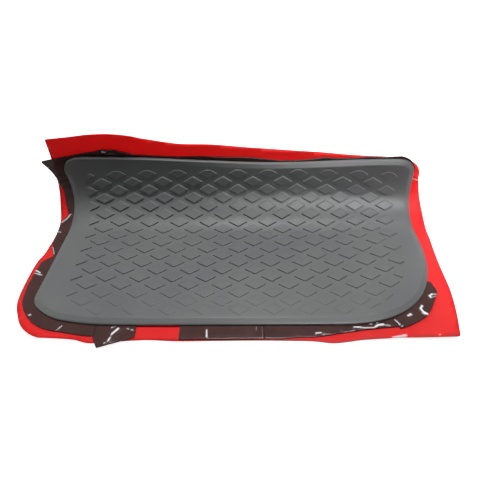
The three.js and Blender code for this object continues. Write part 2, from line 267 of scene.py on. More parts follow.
def smooth_step(value):
    """Rises smoothly from 0 to 1 as the value does."""
    t = np.clip(value, 0, 1)
    return t * t * (3 - 2 * t)


def ring_faces(lower, upper, count):
    """Four-sided faces between two rings of points, given the first point's number in each."""
    return [(lower + i, lower + (i + 1) % count, upper + (i + 1) % count, upper + i) for i in range(count)]


rim_outline = evenly(mat_outline, rim_spacing)
rim_count = len(rim_outline)
mat_points = []
mat_faces = []
for depth, drop in rim_profile:
    ring = drawn_in(rim_outline, depth)
    near_back = smooth_step((ring[:, 1] - soft_from_s) / soft_over_s)
    near_left = smooth_step((soft_from_x - ring[:, 0]) / soft_over_x)
    bevel = 1 - back_left_softening * near_back * near_left
    drops = drop * (bevel if drop <= lowest_bevel_drop else np.ones(rim_count))
    mat_points += [(x, s, mat_top - d) for (x, s), d in zip(ring, drops)]
for step in range(len(rim_profile) - 1):
    mat_faces += ring_faces(step * rim_count, (step + 1) * rim_count, rim_count)
print("rim rings:", len(rim_profile), "of", rim_count, "points")

# %% [markdown]
# The studs stand in staggered rows. Where the field ends, its border cuts the outer ones off straight, as
# the mould does. Each stud's outline is the part of a diamond inside the field, with its corners eased.

# %% One stud's outline
stud_half_length, stud_half_depth = 8.7, 5.25
stud_corner, most_of_side = 0.6, 0.4
smallest_stud = 9.0
smallest_side = 0.4


def clipped_by(polygon, border):
    """The part of a polygon inside a convex anticlockwise border."""
    for start, end in zip(border, np.roll(border, -1, axis=0)):
        along = end - start
        side = along[0] * (polygon[:, 1] - start[1]) - along[1] * (polygon[:, 0] - start[0])
        kept = []
        for i, here in enumerate(polygon):
            j = (i + 1) % len(polygon)
            if side[i] >= 0:
                kept.append(here)
            if side[i] * side[j] < 0:
                kept.append(here + (polygon[j] - here) * side[i] / (side[i] - side[j]))
        if len(kept) < 3:
            return None
        polygon = np.array(kept)
    return polygon


def area_of(polygon):
    """The area of an anticlockwise polygon."""
    x, s = polygon.T
    return (x * np.roll(s, -1) - s * np.roll(x, -1)).sum() / 2


def stud_outline(x, s):
    """A stud's rounded outline, or None where too little of it is inside the field."""
    diamond = np.array([
        [x + stud_half_length, s],
        [x, s + stud_half_depth],
        [x - stud_half_length, s],
        [x, s - stud_half_depth],
    ])
    polygon = clipped_by(diamond, stud_field)
    if polygon is None or area_of(polygon) < smallest_stud:
        return None
    steps = np.linalg.norm(polygon - np.roll(polygon, 1, axis=0), axis=1)
    polygon = polygon[steps > smallest_side]
    sides = np.linalg.norm(polygon - np.roll(polygon, -1, axis=0), axis=1)
    reach = [min(stud_corner, most_of_side * min(sides[i - 1], sides[i])) for i in range(len(polygon))]
    return rounded([[*p, r] for p, r in zip(polygon, reach)], steps=3)

# %% [markdown]
# The studs are low diamonds with slightly sloping sides and a small fillet at the root. Their profile is
# written as steps inwards and upwards from the outline. On the real mat the first rows stand out less than
# the others, and so does the last row, so the height fades towards both.

# %% The field of studs
stud_profile = [
    (-0.3, 0.0), (0.0, 0.0), (0.12, 0.07), (0.2, 0.25), (0.34, 0.98), (0.42, 1.14), (0.6, 1.2), (1.3, 1.22),
]
stud_crown = 0.03
front_stud_height, front_fade_length = 0.35, 30.0
back_stud_height, back_fade_start, back_fade_length = 0.45, field_back - 10, 8.0
stud_inset_unit = 4.5
stud_rows, first_column, last_column = 24, -7, 6
stud_outlines = []


def stepped_in(outline, inset):
    """A stud's outline drawn towards its middle."""
    middle = outline.mean(axis=0)
    return middle + (outline - middle) * (1 - inset / stud_inset_unit)


def height_share(s):
    """How much of the full height a stud has, by its distance from the front."""
    front_share = blend(front_stud_height, 1, smooth_step((s - first_row) / front_fade_length))
    return front_share * blend(1, back_stud_height, smooth_step((s - back_fade_start) / back_fade_length))


for row in range(stud_rows):
    for column in range(first_column, last_column + 1):
        x = (column + (row % 2) / 2) * stud_pitch
        outline = stud_outline(x, first_row + row * stud_row_spacing)
        if outline is not None:
            stud_outlines.append(outline)
stud_borders = [stepped_in(outline, stud_profile[0][0]) for outline in stud_outlines]
print("studs:", len(stud_outlines))

# %% [markdown]
# The skin between the studs is triangulated in one go with every stud's outline as a border. The triangles
# that fall inside a stud are dropped, and each stud grows from its own border: rings that step inwards and
# upwards through the fillet, the sloping side and the eased top edge, closed by a fan.

# %% The mat's upper skin
skin_spacing, skin_clear = 3.4, 1.6
stud_clearance = 1.16
inner_start = (len(rim_profile) - 1) * rim_count
inner_rim = np.array([p[:2] for p in mat_points[inner_start:]])
fill = scattered(inner_rim, skin_spacing, skin_clear)
centres = np.array([outline.mean(axis=0) for outline in stud_outlines])
offsets = np.abs(fill[:, None] - centres)
in_diamonds = offsets[..., 0] / stud_half_length + offsets[..., 1] / stud_half_depth
fill = fill[in_diamonds.min(axis=1) >= stud_clearance]
skin_faces = triangulated([inner_rim, *stud_borders], fill)

owner = np.concatenate([
    np.full(rim_count, -1),
    *[np.full(len(outline), k) for k, outline in enumerate(stud_outlines)],
    np.full(len(fill), -2),
])
skin_faces = [f for f in skin_faces if owner[f[0]] < 0 or not owner[f[0]] == owner[f[1]] == owner[f[2]]]
mat_faces += [[inner_start + v for v in face] for face in skin_faces]
for outline in stud_borders:
    mat_points += [(x, s, mat_top) for x, s in outline]
mat_points += [(x, s, mat_top) for x, s in fill]
print("triangles between the studs:", len(skin_faces))

# %% The studs and the mat's underside
underside_spacing, underside_clear = 7, 2.5
first = inner_start + rim_count
for outline in stud_outlines:
    count = len(outline)
    middle = outline.mean(axis=0)
    share = height_share(middle[1])
    below = first
    for inset, height in stud_profile[1:]:
        ring = stepped_in(outline, inset)
        above = len(mat_points)
        mat_points += [(x, s, mat_top + height * share) for x, s in ring]
        mat_faces += ring_faces(below, above, count)
        below = above
    mat_points.append((*middle, mat_top + stud_profile[-1][1] * share + stud_crown))
    tip = len(mat_points) - 1
    mat_faces += [(below + i, below + (i + 1) % count, tip) for i in range(count)]
    first += count

under_fill = scattered(rim_outline, underside_spacing, underside_clear)
under_faces = triangulated([rim_outline], under_fill)
under_start = len(mat_points)
mat_points += [(x, s, mat_bottom) for x, s in under_fill]
for face in under_faces:
    numbers = [v if v < rim_count else under_start + v - rim_count for v in face]
    mat_faces.append(numbers[::-1])
studded_mat = piece_from("studded_mat", mat_points, mat_faces)
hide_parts("rubber_mat")

# %% [markdown]
# Outside the mat nothing presses the film flat, so it ripples, and the adhesive on it ripples with it. One
# shared wave lifts both by the same amount, and it fades out at the mat's edge. A crease is a ridge along a
# line, with a height, a width and a painted glint. Along a crease a highlight is painted pale into the
# colour, so each piece also keeps how much painted highlight its points carry, for its finish to read.

# %% Waves and creases
wave_height, wave_length, wave_seed = 0.7, 30.0, 3.1
still_margin, wave_fade = 0.5, 9.0
# The width and soft edge of the highlight painted along a crease.
glint_width, glint_edge = 0.55, 1.45


def noise_over(points, size, seed):
    """Soft noise from -1 to 1 with bumps of about the given size."""
    return np.array([noise.noise(Vector((x / size, s / size, seed))) for x, s in points])


def stack_wave(points, gaps):
    """How far film and tape rise off their flat layers."""
    ripple = 0.5 + 0.5 * noise_over(points, wave_length, wave_seed)
    return wave_height * ripple * smooth_step((gaps - still_margin) / wave_fade)


def gap_to_line(points, line):
    """The distance from each flat point to a line through several places."""
    line = np.array(line, float)
    gaps = []
    for start, end in zip(line, line[1:]):
        along = end - start
        t = np.clip(((points - start) @ along) / (along @ along), 0, 1)
        gaps.append(np.linalg.norm(points - start - t[:, None] * along, axis=1))
    return np.min(gaps, axis=0)


def crease_lift(points, creases):
    """How far the creases raise each point. Each crease is (line, height, width, paleness)."""
    lift = np.zeros(len(points))
    for line, height, width, painted_glint in creases:
        lift += height * np.exp(-(gap_to_line(points, line) / width) ** 2)
    return lift


def crease_painted_glint(points, creases):
    """How much painted highlight the creases put on each point, from 0 to 1."""
    painted_light = np.zeros(len(points))
    for line, height, width, painted_glint in creases:
        close = smooth_step(glint_edge - gap_to_line(points, line) / (glint_width * width))
        painted_light = np.maximum(painted_light, painted_glint * close)
    return painted_light


def keep_painted_glint(piece, values):
    """Stores how much painted highlight each point of a piece carries."""
    piece.data.attributes.new("painted_glint", "FLOAT", "POINT").data.foreach_set("value", values)

# %% [markdown]
# The backing film is a thin plastic sheet, larger than the mat, cut by hand: its edges wander, its back left
# and front right corners are pointed and the other two are rounded. It reaches past each side of the mat by
# an uneven amount, so its outline is written as such reaches, joined by smooth curves. Each pair is a place
# along the side, from 0 to 1, and the reach past it there.

# %% The film's outline
film_back_reach = [
    [0.008, 18.4], [0.06, 18.3], [0.11, 19.2], [0.16, 18.7], [0.21, 16], [0.25, 12.4], [0.33, 7.8], [0.42, 7],
    [0.53, 4.2], [0.62, 2.2], [0.71, 0.5], [0.8, -1.3], [0.865, -1.3], [0.905, -0.8],
]
film_right_reach = [
    [0.875, 5.4], [0.84, 6.7], [0.77, 8.9], [0.71, 10.6], [0.63, 11.9], [0.51, 11], [0.4, 8.8], [0.3, 7.4],
    [0.17, 6], [0.06, 2.8],
]
film_front_reach = [
    [0.87, 10.3], [0.78, 11.1], [0.71, 13.4], [0.65, 11.5], [0.5, 10.7], [0.36, 10.9], [0.28, 9.8],
    [0.2, 11.5], [0.155, 12.5], [0.115, 9.8], [0.04, 9],
]
film_left_reach = [
    [0.05, 7], [0.1, 10.8], [0.17, 12.4], [0.29, 12.2], [0.36, 11.3], [0.41, 9], [0.5, 7.6], [0.62, 7],
    [0.72, 8.2], [0.84, 7.5], [0.97, 7.3],
]
film_front_right_tip = [0.993, 11.2]
film_front_left_pull = [-left_at_front - 1.5, -5]
film_edge_spacing = 1.6


def across(t):
    """The x of a place along the front or back edge, from 0 at the left to 1 at the right."""
    return blend(-mat_half_width, mat_half_width, t) + (right_at_front - left_at_front) / 2


def on_back(t, reach):
    """A place past the back edge, whose length runs evenly from the left corner's to the right one's."""
    place = across(t) / mat_half_width / 2 + 0.5
    return [across(t), blend(length_at_left, length_at_right, place) + reach]


def on_front(t, reach):
    """A place past the front edge."""
    return [across(t), -reach]


def on_right(t, reach):
    """A place past the right side, from 0 at the front to 1 at the back."""
    return [blend(right_at_front, right_at_back, t) + reach, t * mat_length]


def on_left(t, reach):
    """A place past the left side, from 0 at the front to 1 at the back."""
    return [-blend(left_at_front, left_at_back, t) - reach, t * mat_length]


def smoothly(points, steps=10):
    """A smooth open curve through the points."""
    points = np.array(points)
    padded = np.vstack([points[:1], points, points[-1:]])
    t = np.linspace(0, 1, steps, endpoint=False)[:, None]
    curve = []
    for a, b, c, d in zip(padded, padded[1:], padded[2:], padded[3:]):
        pull = (c - a) / 2
        leave = (d - b) / 2
        bow = (2 * b - 2 * c + pull + leave) * t ** 3 + (-3 * b + 3 * c - 2 * pull - leave) * t ** 2
        curve.append(bow + pull * t + b)
    return np.vstack([*curve, points[-1:]])


def eased(start, corner, end, steps=12):
    """A rounded corner between two points."""
    t = np.linspace(0, 1, steps + 1)[1:-1, None]
    return (1 - t) ** 2 * np.array(start) + 2 * t * (1 - t) * np.array(corner) + t ** 2 * np.array(end)


back_side = [on_back(*pair) for pair in film_back_reach]
right_side = [on_right(*pair) for pair in film_right_reach] + [on_front(*film_front_right_tip)]
front_side = [on_front(*pair) for pair in film_front_reach]
left_side = [on_left(*pair) for pair in film_left_reach]
film_outline = np.vstack([
    smoothly(back_side),
    eased(back_side[-1], [right_side[0][0], back_side[-1][1]], right_side[0]),
    smoothly(right_side),
    smoothly(front_side),
    eased(front_side[-1], film_front_left_pull, left_side[0]),
    smoothly(left_side),
])[::-1]
film_outline = evenly(film_outline, film_edge_spacing)
print("film area, square cm:", round(area_of(film_outline) / 100, 1))
print("film width and length, mm:", np.ptp(film_outline, axis=0).round(1))

# %% [markdown]
# The film has only three small creases, and they are finer than its triangles. Instead of making the whole
# sheet finer, a close grid of points is laid along each crease and the wider scatter is left out there. The
# film's underside is the same sheet turned over, half a millimetre lower, and a band joins the two.

# %% The film
film_spacing, film_clear = 3.6, 1.2
fine_spacing, fine_clear, crease_surround = 0.4, 0.3, 3
crease_margin = 1.6
# The last number of each crease paints a highlight into the film's colour: a glint along a fold, and a glare
# on the lifted front edge.
film_creases = [
    ([(149.8, 143.3), (157.4, 141.8)], 0.3, 0.8, 1.0),
    ([(109.5, -10.4), (118.6, -8.9)], 0.5, 1.7, 0.8),
    ([(142.1, -9.4), (142.9, -9.0)], 0.2, 0.7, 0.5),
]


def close_points(line, reach, spacing):
    """A fine grid of points close to a line."""
    low, high = np.min(line, axis=0) - reach, np.max(line, axis=0) + reach
    xs, ss = np.meshgrid(np.arange(low[0], high[0], spacing), np.arange(low[1], high[1], spacing))
    points = np.column_stack([xs.ravel(), ss.ravel()])
    return points[gap_to_line(points, line) < reach]


film_fill = scattered(film_outline, film_spacing, film_clear)
fine_fill = []
for line, height, width, painted_glint in film_creases:
    film_fill = film_fill[gap_to_line(film_fill, line) > crease_surround]
    fine_fill.append(close_points(line, crease_margin * width, fine_spacing))
fine_fill = np.vstack(fine_fill)
fine_fill = fine_fill[is_inside(fine_fill, film_outline)]
fine_fill = fine_fill[distance_to(fine_fill, film_outline) > fine_clear]
film_fill = np.vstack([film_fill, fine_fill])
film_flat = np.vstack([film_outline, film_fill])
film_gaps = beyond_mat(film_flat)
film_lift = stack_wave(film_flat, film_gaps)
film_lift += crease_lift(film_flat, film_creases) * smooth_step((film_gaps - 1) / 2)
film_faces = triangulated([film_outline], film_fill)
film_count = len(film_flat)
film_points = [(x, s, film_top + h) for (x, s), h in zip(film_flat, film_lift)]
film_points += [(x, s, h) for (x, s), h in zip(film_flat, film_lift)]
edge_count = len(film_outline)
film_faces += [[v + film_count for v in face[::-1]] for face in film_faces]
film_faces += ring_faces(film_count, 0, edge_count)
red_film = piece_from("red_film", film_points, film_faces)
keep_painted_glint(red_film, np.concatenate([crease_painted_glint(film_flat, film_creases), np.zeros(film_count)]))
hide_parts("backing_film")

# %% [markdown]
# The adhesive was laid as separate strips that follow the rim. A place along the rim is a share of its whole
# length, from 0 at the back left corner, round the left side, the front, the right side and the back, to 1.
# A strip that starts below 0 begins on the back edge.

# %% Places along the rim
rim_path = np.vstack([mat_outline, mat_outline[:1]])
rim_steps = np.linalg.norm(np.diff(rim_path, axis=0), axis=1)
rim_length = rim_steps.sum()
rim_places = np.concatenate([[0], np.cumsum(rim_steps)]) / rim_length
rim_nudge = 1e-3
ridge_sharpness = 2.2
fine_size, fine_share, fine_seed = 0.43, 0.3, 7


def at_rim(place):
    """Flat points on the mat's outline."""
    return np.column_stack([np.interp(place % 1, rim_places, rim_path[:, k]) for k in (0, 1)])


def beside_rim(place, out):
    """Flat points outside the rim by the given distances."""
    along = at_rim(place + rim_nudge) - at_rim(place - rim_nudge)
    along /= np.linalg.norm(along, axis=1)[:, None]
    return at_rim(place) + np.column_stack([along[:, 1], -along[:, 0]]) * np.asarray(out)[:, None]


def crumpled(points, size, seed):
    """Sharp-ridged noise from 0 to 1, like crushed foil."""
    broad = 1 - np.abs(noise_over(points, size, seed)) * ridge_sharpness
    fine = 1 - np.abs(noise_over(points, size * fine_size, seed + fine_seed)) * ridge_sharpness
    return np.clip(blend(broad, fine, fine_share), 0, 1)


print("rim length, mm:", round(rim_length, 1))

# %% [markdown]
# Each strip is listed with what can be seen of it: the span it covers, how far it reaches past the mat at
# even distances along that span, how crumpled it is there, and its creases as flat points on the tape. Such
# a list is easier to compare with the real strips, one after the other, than facts spread over the code.

# %% The strips
tuck = 9.0
# The last number of each crease is how much highlight is painted into the tape's colour along it.
strips = {
    "left_back": dict(
        span=(-0.0194, 0.07455),
        reach=[
            6.5, 5.6, 4.7, 4.1, 3.6, 3, 2.4, 2, 1.7, 2.2, 4, 8, 18.4, 14, 11.6,
            10.8, 10.2, 9.8, 9.4, 8.7, 8, 7.9, 7.8, 7.7, 7.6, 7.2, 6.8, 6.2, 5.6,
        ],
        crumple=[0.6, 0.2, 0.1, 0.1, 0.1, 0.1],
        creases=[([(-140, 170), (-133, 166)], 0.5, 2.0, 0)],
    ),
    "left_middle": dict(
        span=(0.07465, 0.12625),
        reach=[4, 8.7, 10.3, 10.2, 9.6, 9.1, 7.4, 3.1],
        crumple=[0.2, 0.1, 0.1],
        creases=[
            ([(-148.1, 109.8), (-150.5, 106), (-154.7, 101.9)], 0.4, 0.8, 0.75),
            ([(-156.7, 91.9), (-154, 91.7)], 0.4, 0.8, 0.9),
            ([(-155.2, 74), (-153.4, 70), (-152.2, 66.8)], 0.3, 0.7, 0.5),
        ],
    ),
    "left_front": dict(
        span=(0.12635, 0.24135),
        reach=[3, 9.6, 10.2, 10.3, 10.1, 9, 8.1, 9.5, 9.4, 8.5, 8.4, 8.9, 8.9],
        crumple=[0.1, 0.05, 0.05, 0.05, 0.2],
        creases=[
            ([(-160.6, 48.6), (-157.1, 46.9)], 0.4, 0.9, 1.0),
            ([(-160.4, 45.7), (-155.1, 44.7)], 0.4, 0.8, 0.75),
            ([(-152.4, 8), (-151.8, 8.2)], 0.4, 1.2, 0.75),
            ([(-128.9, -2.6), (-127.2, 0)], 0.3, 0.55, 0.8),
            ([(-129.8, -3.7), (-129.4, -3.2)], 0.2, 0.6, 0.4),
        ],
    ),
    "crumpled": dict(
        span=(0.24145, 0.2742),
        reach=[10.5, 17.8, 16.3, 14.9, 13.4, 12, 10.5, 9.1],
        crumple=[0.03, 0.03],
        creases=[
            ([(-87, -1.7), (-92.5, -13)], 0.4, 3.6, 0),
            ([(-86.9, -1.6), (-90.4, -6)], 0.15, 1.4, 1.0),
            ([(-90.6, -6.6), (-90.7, -7.4)], 0.1, 0.7, 0.8),
            ([(-91.1, -9), (-92, -11.6)], 0.15, 1.0, 1.0),
            ([(-94.3, -13.4), (-93.6, -13.1)], 0.3, 0.8, 0.7),
            ([(-91.9, -0.6), (-89.4, 0.3)], 0.3, 0.8, 0.8),
            ([(-80.6, -1.1), (-79.2, -1.9)], 0.3, 0.6, 0.6),
            ([(-77.3, -2.3), (-76.6, -2.5)], 0.3, 0.9, 0.6),
        ],
    ),
    "front_left": dict(
        span=(0.31, 0.37925),
        reach=[11, 10.9, 10.7],
        crumple=[0.1, 0.05, 0.1],
        creases=[
            ([(-23.4, -2.7), (-23.2, -8.3)], 0.3, 0.85, 1.0),
            ([(12.3, -0.5), (12.2, -3)], 0.2, 0.6, 0.2),
            ([(16.7, -0.6), (16.5, -9)], 0.1, 0.5, 0.1),
        ],
    ),
    "front_right": dict(
        span=(0.37935, 0.48795),
        reach=[10.7, 10.6, 9.5, 9.2, 7.8, 5.7, 4.5, 5, 7.5],
        crumple=[0.03, 0.03, 0.05, 0.1, 0.3, 0.5, 0.5, 0.5, 0.3],
        creases=[
            ([(55.1, -6), (58.7, -5.8)], 0.4, 0.9, 0.95),
            ([(60, -6.4), (66, -7.2), (71.5, -7.2)], 0.2, 0.5, 0.25),
            ([(71.5, -7.4), (74, -6.6), (77, -5.7)], 0.5, 0.8, 0.95),
            ([(77, -5.7), (83, -4.3)], 0.3, 0.6, 0.4),
            ([(83.2, -1.5), (87.5, -1.7)], 0.5, 1.1, 0.95),
            ([(87.5, -1.9), (90.3, -2.4), (98, -2.7)], 0.6, 1.0, 0.7),
            ([(98.6, -1.8), (101, -0.6), (104.4, -0.3)], 0.7, 1.4, 1.0),
            ([(104.4, -0.5), (109.2, -1.3)], 0.4, 0.8, 0.5),
            ([(95.6, 0.6), (96.4, 0.8)], 0.3, 0.8, 0.6),
            ([(100.2, 1.4), (101, 1.6)], 0.3, 0.7, 0.55),
        ],
    ),
    "right_corner": dict(
        span=(0.48805, 0.54365),
        reach=[9.5, 10.4, 11, 11.4, 10.3, 9.2, 8.8, 2.5],
        crumple=[0.4, 0.15, 0.1, 0.1, 0.1],
        creases=[
            ([(113.7, 3.5), (116.1, -0.6)], 0.4, 0.85, 1.0),
            ([(117, -2.2), (118, -1.8)], 0.2, 0.8, 0.55),
            ([(124.3, 6.6), (127, 7.5)], 0.3, 1.2, 0.9),
            ([(126, 8.3), (127, 7.5)], 0.2, 1.0, 0.6),
            ([(136.9, 14.3), (135, 12.2), (136, 9.4), (138.8, 6.8)], 0.6, 1.25, 1.0),
            ([(145.8, 21.8), (144.9, 23.1), (147.6, 24.4)], 0.4, 1.0, 1.0),
            ([(147.6, 24.4), (150.4, 24.2)], 0.3, 0.7, 0.7),
            ([(146.4, 21.7), (150, 22.4)], 0.3, 0.55, 0.5),
        ],
    ),
    "right_side": dict(span=(0.54375, 0.66895), reach=[-1, -1.5], crumple=[0, 0], creases=[]),
    "back": dict(
        span=(0.66905, 0.9805),
        reach=[
            0.5, 1.2, 2.6, 1.2, 2.1, 0.9, 1.4, 2.8, 1.3, 0.9, 1, 2.5,
            3.7, 3.6, 3, 3.2, 2.7, 1.4, 1.4, 1.6, 1.9, 6, 7,
        ],
        crumple=[0.1, 0.5, 0.3, 0.2, 0.4, 0.3, 0.3, 0.2, 0.3, 0.9, 0.8],
        creases=[
            ([(131, 166.4), (133, 166.2)], 0.9, 1.2, 0),
            ([(-109.4, 170), (-102.6, 171), (-94, 166.5)], 1.0, 1.2, 0),
            ([(-111.8, 168.9), (-109.6, 168.5)], 0.5, 1.2, 1.0),
            ([(-98, 169.6), (-90, 166.2)], 0.4, 0.8, 0.3),
        ],
    ),
}
nodes_of = {name: "adhesive_" + name for name in strips}
nodes_of["crumpled"] = "adhesive_front_crumpled"
print("strips:", len(strips), "with", sum(len(facts["creases"]) for facts in strips.values()), "creases")

# %% [markdown]
# Each strip becomes a band of four-sided faces in two directions, along the rim and out from it, because a
# band keeps its width round a corner. The rows lie closer where the tape can be seen than where it is tucked
# under the mat. Creases cross it where the tape was squeezed round a bend, its worst stretches are crumpled
# by sharp-ridged noise, and its outer edge wanders a little and is thinner.

# %% Make the strips
station_spacing, fewest_stations = 0.6, 20
hidden_rows, seen_rows = np.linspace(0, 0.4, 4), np.linspace(0.45, 0.98, 22)
row_places = np.concatenate([hidden_rows, seen_rows, [1.0]])
edge_wander, edge_wander_length = 0.2, 6.0
edge_drop = 0.3
crumple_size = 7.0
tape_still_margin, tape_fade = 0.3, 2.2
lift_below = 0.55
first_seed, seed_step = 11.3, 5


def spread_over(values, count):
    """A list of values spread evenly over a count of places, with straight lines between them."""
    return np.interp(np.linspace(0, len(values) - 1, count), range(len(values)), values)


def tape_strip(name, seed, span, reach, crumple, creases):
    """A strip of adhesive along the rim."""
    stations = max(int((span[1] - span[0]) * rim_length / station_spacing), fewest_stations)
    rows = len(row_places)
    place = np.linspace(*span, stations)
    crumple = spread_over(crumple, stations)
    along_rim = np.column_stack([place * rim_length, np.zeros(stations)])
    wander = noise_over(along_rim, edge_wander_length, seed) * edge_wander
    width = spread_over(reach, stations) + tuck + wander
    flat = np.vstack([beside_rim(place, width * share - tuck) for share in row_places])
    gaps = beyond_mat(flat)
    free = smooth_step((gaps - tape_still_margin) / tape_fade)
    crushed = np.tile(crumple, rows) * crumpled(flat, crumple_size, seed)
    lift = (crushed + crease_lift(flat, creases)) * free
    wave = stack_wave(flat, gaps)
    top = strip_top + wave + lift
    top[-stations:] -= edge_drop
    bottom = strip_bottom + wave + lift_below * lift
    upper = [(x, s, h) for (x, s), h in zip(flat, top)]
    lower = [(x, s, h) for (x, s), h in zip(flat, bottom)]
    total = rows * stations
    faces = []
    for row in range(rows - 1):
        for i in range(stations - 1):
            a = row * stations + i
            corners = (a, a + 1, a + 1 + stations, a + stations)
            faces.append(corners[::-1])
            faces.append([c + total for c in corners])
    border = list(range(stations))
    border += [row * stations + stations - 1 for row in range(1, rows)]
    border += [(rows - 1) * stations + i for i in range(stations - 2, -1, -1)]
    border += [row * stations for row in range(rows - 2, 0, -1)]
    for a, b in zip(border, border[1:] + border[:1]):
        faces.append((a, b, b + total, a + total))
    piece = piece_from("tape_" + name, upper + lower, faces)
    keep_painted_glint(piece, np.concatenate([crease_painted_glint(flat, creases), np.zeros(total)]))
    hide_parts(nodes_of[name])
    return piece


tapes = []
for number, (name, facts) in enumerate(strips.items()):
    tapes.append(tape_strip(name, first_seed + seed_step * number, **facts))

# %% [markdown]
# All three finishes vary softly from place to place and have a fine surface texture, only at different sizes
# and strengths. Two node groups give those effects, so each material places them with its own values: one
# blends between two tones in cloudy patches, and the other makes a height for fine grain.

# %% Shared effects
def socket(tree, name, kind, way, value=None):
    """One named input or output of a node group."""
    made = tree.interface.new_socket(name=name, in_out=way, socket_type=kind)
    if value is not None:
        made.default_value = value
    return made


def add_node(tree, kind, x, y, **values):
    """A node with values set on its inputs by name."""
    node = tree.nodes.new(kind)
    node.location = (x, y)
    for name, value in values.items():
        node.inputs[name].default_value = value
    return node


cloudy = bpy.data.node_groups.new("cloudy_tone", "ShaderNodeTree")
socket(cloudy, "Patch Scale", "NodeSocketFloat", "INPUT", 60.0)
socket(cloudy, "Dark", "NodeSocketColor", "INPUT")
socket(cloudy, "Light", "NodeSocketColor", "INPUT")
socket(cloudy, "Color", "NodeSocketColor", "OUTPUT")
socket(cloudy, "Amount", "NodeSocketFloat", "OUTPUT")
cloudy_in = add_node(cloudy, "NodeGroupInput", -600, 0)
cloudy_out = add_node(cloudy, "NodeGroupOutput", 400, 0)
cloudy_place = add_node(cloudy, "ShaderNodeTexCoord", -600, -200)
cloudy_noise = add_node(cloudy, "ShaderNodeTexNoise", -350, 0, Detail=5.0, Roughness=0.6)
cloudy_mix = cloudy.nodes.new("ShaderNodeMix")
cloudy_mix.data_type = "RGBA"
cloudy_range = add_node(cloudy, "ShaderNodeMapRange", -120, 0)
cloudy_range.inputs["From Min"].default_value = 0.3
cloudy_range.inputs["From Max"].default_value = 0.7
cloudy.links.new(cloudy_place.outputs["Object"], cloudy_noise.inputs["Vector"])
cloudy.links.new(cloudy_in.outputs["Patch Scale"], cloudy_noise.inputs["Scale"])
cloudy.links.new(cloudy_noise.outputs["Fac"], cloudy_range.inputs["Value"])
cloudy.links.new(cloudy_range.outputs["Result"], cloudy_mix.inputs["Factor"])
cloudy.links.new(cloudy_in.outputs["Dark"], cloudy_mix.inputs[6])
cloudy.links.new(cloudy_in.outputs["Light"], cloudy_mix.inputs[7])
cloudy.links.new(cloudy_mix.outputs[2], cloudy_out.inputs["Color"])
cloudy.links.new(cloudy_range.outputs["Result"], cloudy_out.inputs["Amount"])

grain = bpy.data.node_groups.new("fine_grain", "ShaderNodeTree")
socket(grain, "Grain Scale", "NodeSocketFloat", "INPUT", 1500.0)
socket(grain, "Ripple Scale", "NodeSocketFloat", "INPUT", 90.0)
socket(grain, "Ripple Share", "NodeSocketFloat", "INPUT", 0.5)
socket(grain, "Height", "NodeSocketFloat", "OUTPUT")
grain_in = add_node(grain, "NodeGroupInput", -600, 0)
grain_out = add_node(grain, "NodeGroupOutput", 400, 0)
grain_place = add_node(grain, "ShaderNodeTexCoord", -600, -200)
grain_fine = add_node(grain, "ShaderNodeTexNoise", -350, 120, Detail=3.0, Roughness=0.55)
grain_broad = add_node(grain, "ShaderNodeTexNoise", -350, -120, Detail=2.0, Roughness=0.5)
grain_mix = add_node(grain, "ShaderNodeMix", 100, 0)
grain.links.new(grain_place.outputs["Object"], grain_fine.inputs["Vector"])
grain.links.new(grain_place.outputs["Object"], grain_broad.inputs["Vector"])
grain.links.new(grain_in.outputs["Grain Scale"], grain_fine.inputs["Scale"])
grain.links.new(grain_in.outputs["Ripple Scale"], grain_broad.inputs["Scale"])
grain.links.new(grain_in.outputs["Ripple Share"], grain_mix.inputs["Factor"])
grain.links.new(grain_fine.outputs["Fac"], grain_mix.inputs["A"])
grain.links.new(grain_broad.outputs["Fac"], grain_mix.inputs["B"])
grain.links.new(grain_mix.outputs["Result"], grain_out.inputs["Height"])

# %% [markdown]
# Each finish is one Principled shader. The rubber is a satin dark grey with a fine moulded grain. The film
# is smooth, saturated red plastic, thin enough for some light to pass through it, which subsurface
# scattering gives. The adhesive is a brown-black gel under a glossy skin. Film and tape read the painted glint
# that their points keep, and turn towards a pale tone along the creases, a highlight painted into the colour.

# %% Materials
def finish(name, dark, light, patches, roughness, grain_values, bump):
    """A material whose colour and roughness drift between two ends and whose surface has a fine grain.
    The bump is a strength and a depth in millimetres."""
    material = bpy.data.materials.new(name)
    material.use_nodes = True
    tree = material.node_tree
    shader = tree.nodes["Principled BSDF"]
    tone = tree.nodes.new("ShaderNodeGroup")
    tone.node_tree = cloudy
    tone.location = (-600, 200)
    tone.inputs["Patch Scale"].default_value = patches
    tone.inputs["Dark"].default_value = (*dark, 1)
    tone.inputs["Light"].default_value = (*light, 1)
    gloss = add_node(tree, "ShaderNodeMapRange", -350, 0)
    gloss.inputs["To Min"].default_value, gloss.inputs["To Max"].default_value = roughness
    texture = tree.nodes.new("ShaderNodeGroup")
    texture.node_tree = grain
    texture.location = (-600, -250)
    for key, value in grain_values.items():
        texture.inputs[key].default_value = value
    relief = add_node(tree, "ShaderNodeBump", -300, -250, Strength=bump[0], Distance=bump[1] * millimetre)
    tree.links.new(tone.outputs["Color"], shader.inputs["Base Color"])
    tree.links.new(tone.outputs["Amount"], gloss.inputs["Value"])
    tree.links.new(gloss.outputs["Result"], shader.inputs["Roughness"])
    tree.links.new(texture.outputs["Height"], relief.inputs["Height"])
    tree.links.new(relief.outputs["Normal"], shader.inputs["Normal"])
    return material, shader


satin_rubber, rubber_shader = finish(
    "satin_rubber", (0.130, 0.134, 0.140), (0.155, 0.162, 0.158), 14.0, (0.38, 0.46),
    {"Grain Scale": 2200.0, "Ripple Scale": 260.0, "Ripple Share": 0.3}, (0.15, 0.06),
)
rubber_shader.inputs["Specular IOR Level"].default_value = 0.18

